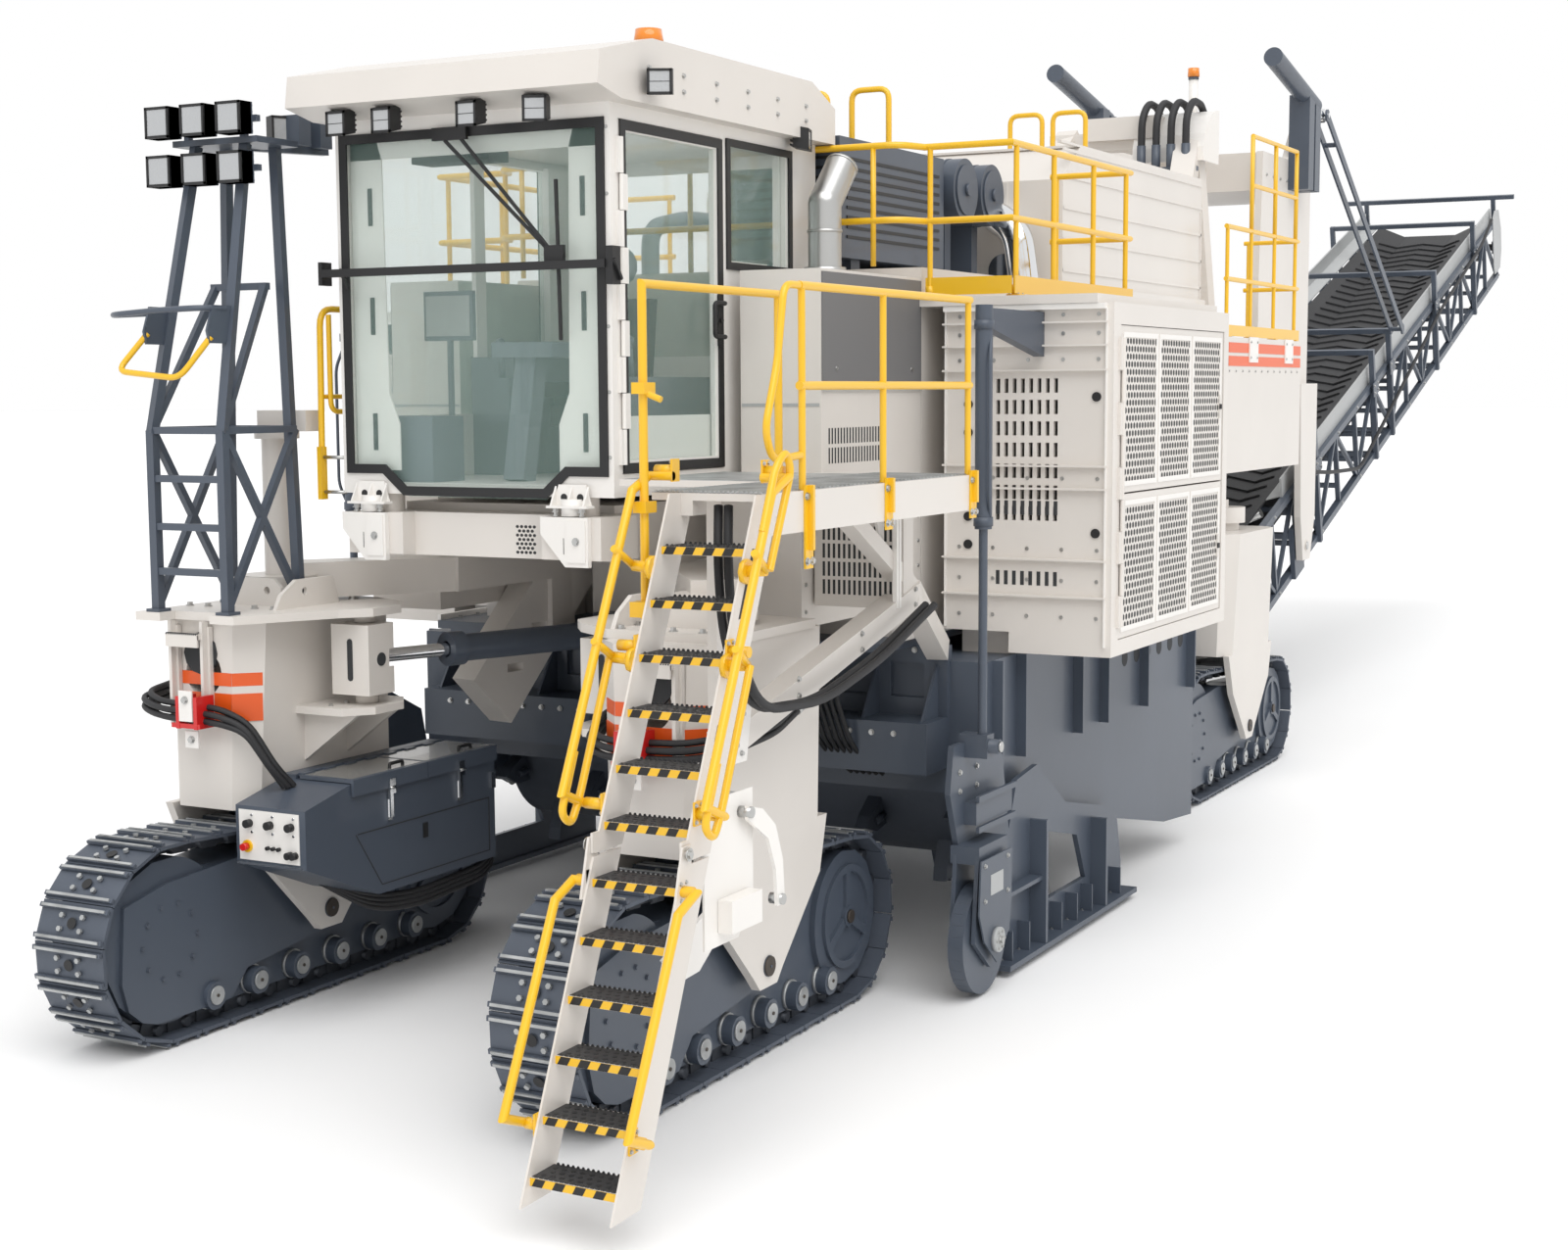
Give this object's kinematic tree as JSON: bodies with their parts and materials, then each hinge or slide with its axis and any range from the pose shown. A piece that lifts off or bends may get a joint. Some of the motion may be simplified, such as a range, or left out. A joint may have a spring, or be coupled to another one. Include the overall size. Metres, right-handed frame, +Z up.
{
  "type": "surface miner",
  "caption": "Crawler surface miner with steered tracks, central milling drum, raised cab with boarding ladder, lamp mast, and a slewing, luffing discharge conveyor.",
  "frame": {"origin": "on the ground, under the middle of the machine's box", "axes": "+X forward to the cab end, +Y to the machine's left, +Z up"},
  "size_m": [33.0628, 6.464, 8.0078],
  "materials": {
    "beige_paint": "satin warm off-white paint",
    "white_paint": "satin white paint",
    "slate_paint": "satin slate blue-grey paint",
    "track_steel": "painted track steel, worn at the edges",
    "grey_paint": "satin light grey paint",
    "yellow_paint": "gloss safety yellow paint",
    "chrome_rod": "ground and plated rod",
    "polished_steel": "bright stainless tube",
    "engine_iron": "dark painted casting",
    "glass": "tinted safety glass",
    "seat_fabric": "black woven seat cover",
    "belt_rubber": "black belt cover"
  },
  "bodies": {
    "chassis": {"chassis_frame": "slate_paint", "column_heads": "beige_paint", "engine_hall": "beige_paint", "engine_block": "engine_iron", "rear_bay": "beige_paint", "radiator_modules": "beige_paint", "service_boxes": "beige_paint", "air_filters": "slate_paint", "exhaust": "polished_steel", "cab_shell": "white_paint", "cab_roof": "beige_paint", "cab_glass": "glass", "cab_seat": "seat_fabric", "cab_support": "beige_paint", "plate_lift_barrels": "slate_paint", "platform": "beige_paint", "ladder_upper": "beige_paint", "guard_rails": "yellow_paint", "primary_conveyor": "slate_paint", "gantry": "beige_paint"},
    "crawler_front_left": {"track_loop_front_left": "track_steel", "track_frame_front_left": "slate_paint", "column_front_left": "beige_paint"},
    "crawler_front_right": {"track_loop_front_right": "track_steel", "track_frame_front_right": "slate_paint", "column_front_right": "beige_paint", "lamp_mast": "slate_paint", "toolbox": "slate_paint"},
    "crawler_rear_left": {"track_loop_rear_left": "track_steel", "track_frame_rear_left": "slate_paint", "column_rear_left": "beige_paint"},
    "crawler_rear_right": {"track_loop_rear_right": "track_steel", "track_frame_rear_right": "slate_paint", "column_rear_right": "beige_paint"},
    "toolbox_lid_front": {"toolbox_lid_front": "slate_paint"},
    "toolbox_lid_rear": {"toolbox_lid_rear": "slate_paint"},
    "steer_barrel_left": {"steer_barrel_left": "slate_paint"},
    "steer_barrel_right": {"steer_barrel_right": "slate_paint"},
    "steer_rod_left": {"steer_rod_left": "chrome_rod"},
    "steer_rod_right": {"steer_rod_right": "chrome_rod"},
    "milling_drum": {"milling_drum": "track_steel"},
    "side_plate_left": {"side_plate_left": "slate_paint"},
    "side_plate_right": {"side_plate_right": "slate_paint"},
    "gauge_wheel_left": {"gauge_wheel_left": "slate_paint"},
    "gauge_wheel_right": {"gauge_wheel_right": "slate_paint"},
    "box_door_upper_left": {"box_door_upper_left": "beige_paint"},
    "box_door_lower_left": {"box_door_lower_left": "beige_paint"},
    "box_door_upper_right": {"box_door_upper_right": "beige_paint"},
    "box_door_lower_right": {"box_door_lower_right": "beige_paint"},
    "cab_door": {"cab_door": "white_paint", "cab_door_glass": "glass"},
    "ladder_lower": {"ladder_lower": "beige_paint", "ladder_lower_rails": "yellow_paint"},
    "slew_frame": {"slew_frame": "beige_paint", "luffing_rams": "slate_paint"},
    "luffing_rods": {"luffing_rods": "chrome_rod"},
    "boom_stays": {"boom_stays": "slate_paint"},
    "boom": {"boom_truss": "slate_paint", "boom_skirts": "grey_paint", "boom_belt": "belt_rubber"}
  },
  "joints": [
    {"name": "steer_front_left", "type": "hinge", "parent": "chassis", "child": "crawler_front_left", "pos_m": [13.379, 1.7, 1.2], "axis": [0, 0, 1], "range_deg": [-15, 15]},
    {"name": "steer_front_right", "type": "hinge", "parent": "chassis", "child": "crawler_front_right", "pos_m": [13.379, -1.7, 1.2], "axis": [0, 0, 1], "range_deg": [-15, 15]},
    {"name": "steer_rear_left", "type": "hinge", "parent": "chassis", "child": "crawler_rear_left", "pos_m": [2.729, 1.7, 1.2], "axis": [0, 0, 1], "range_deg": [-15, 15]},
    {"name": "steer_rear_right", "type": "hinge", "parent": "chassis", "child": "crawler_rear_right", "pos_m": [2.729, -1.7, 1.2], "axis": [0, 0, 1], "range_deg": [-15, 15]},
    {"name": "steer_barrel_left_pivot", "type": "hinge", "parent": "chassis", "child": "steer_barrel_left", "pos_m": [11.529, 0.33, 2.345], "axis": [0, 0, 1], "range_deg": [-2, 2]},
    {"name": "steer_rod_left_slide", "type": "slide", "parent": "steer_barrel_left", "child": "steer_rod_left", "axis": [0.9419, 0.336, 0], "range_m": [-0.18, 0.18]},
    {"name": "steer_barrel_right_pivot", "type": "hinge", "parent": "chassis", "child": "steer_barrel_right", "pos_m": [11.529, -0.33, 2.345], "axis": [0, 0, 1], "range_deg": [-2, 2]},
    {"name": "steer_rod_right_slide", "type": "slide", "parent": "steer_barrel_right", "child": "steer_rod_right", "axis": [0.9419, -0.336, 0], "range_m": [-0.18, 0.18]},
    {"name": "drum_spin", "type": "hinge", "parent": "chassis", "child": "milling_drum", "pos_m": [9.529, 0, 1.18], "axis": [0, 1, 0], "continuous": true},
    {"name": "side_plate_left_lift", "type": "slide", "parent": "chassis", "child": "side_plate_left", "axis": [0, 0, 1], "range_m": [0, 0.8]},
    {"name": "gauge_wheel_left_spin", "type": "hinge", "parent": "side_plate_left", "child": "gauge_wheel_left", "pos_m": [11.429, 2.62, 0.4], "axis": [0, 1, 0], "continuous": true},
    {"name": "side_plate_right_lift", "type": "slide", "parent": "chassis", "child": "side_plate_right", "axis": [0, 0, 1], "range_m": [0, 0.8]},
    {"name": "gauge_wheel_right_spin", "type": "hinge", "parent": "side_plate_right", "child": "gauge_wheel_right", "pos_m": [11.429, -2.62, 0.4], "axis": [0, 1, 0], "continuous": true},
    {"name": "box_door_upper_left_hinge", "type": "hinge", "parent": "chassis", "child": "box_door_upper_left", "pos_m": [10.269, 3.218, 4], "axis": [0, 0, -1], "range_deg": [0, 110]},
    {"name": "box_door_lower_left_hinge", "type": "hinge", "parent": "chassis", "child": "box_door_lower_left", "pos_m": [10.269, 3.218, 2.85], "axis": [0, 0, -1], "range_deg": [0, 110]},
    {"name": "box_door_upper_right_hinge", "type": "hinge", "parent": "chassis", "child": "box_door_upper_right", "pos_m": [10.269, -3.218, 4], "axis": [0, 0, 1], "range_deg": [0, 110]},
    {"name": "box_door_lower_right_hinge", "type": "hinge", "parent": "chassis", "child": "box_door_lower_right", "pos_m": [10.269, -3.218, 2.85], "axis": [0, 0, 1], "range_deg": [0, 110]},
    {"name": "cab_door_hinge", "type": "hinge", "parent": "chassis", "child": "cab_door", "pos_m": [13.379, 1.07, 4.65], "axis": [0, 0, -1], "range_deg": [0, 85]},
    {"name": "ladder_fold", "type": "hinge", "parent": "chassis", "child": "ladder_lower", "pos_m": [15.814, 2.63, 1.85], "axis": [0, -1, 0], "range_deg": [0, 100]},
    {"name": "toolbox_lid_front_hinge", "type": "hinge", "parent": "crawler_front_right", "child": "toolbox_lid_front", "pos_m": [13.479, -1.19, 1.61], "axis": [1, 0, 0], "range_deg": [0, 50]},
    {"name": "toolbox_lid_rear_hinge", "type": "hinge", "parent": "crawler_front_right", "child": "toolbox_lid_rear", "pos_m": [12.679, -1.19, 1.61], "axis": [1, 0, 0], "range_deg": [0, 50]},
    {"name": "boom_slew", "type": "hinge", "parent": "chassis", "child": "slew_frame", "pos_m": [-1.171, 0, 5.4], "axis": [0, 0, 1], "range_deg": [-90, 90]},
    {"name": "boom_luff", "type": "hinge", "parent": "slew_frame", "child": "boom", "pos_m": [-2.371, 0, 2.13], "axis": [0, 1, 0], "range_deg": [-12, 3]},
    {"name": "luffing_rod_slide", "type": "slide", "parent": "slew_frame", "child": "luffing_rods", "axis": [0.9822, 0, 0.1877], "range_m": [-1.2, 0.3]},
    {"name": "stay_link", "type": "hinge", "parent": "luffing_rods", "child": "boom_stays", "pos_m": [-2.621, 0, 7.47], "axis": [0, 1, 0], "range_deg": [-12, 3]}
  ],
  "couplings": [
    {"joint": "steer_front_right", "follows": "steer_front_left", "ratio": 1},
    {"joint": "steer_rear_right", "follows": "steer_rear_left", "ratio": 1},
    {"joint": "steer_barrel_left_pivot", "follows": "steer_front_left", "ratio": -0.125},
    {"joint": "steer_barrel_right_pivot", "follows": "steer_front_left", "ratio": -0.125},
    {"joint": "steer_rod_left_slide", "follows": "steer_front_left", "m_per_rad": 0.658},
    {"joint": "steer_rod_right_slide", "follows": "steer_front_left", "m_per_rad": -0.658},
    {"joint": "luffing_rod_slide", "follows": "boom_luff", "m_per_rad": 5.1691},
    {"joint": "stay_link", "follows": "boom_luff", "ratio": 0.9301}
  ]
}
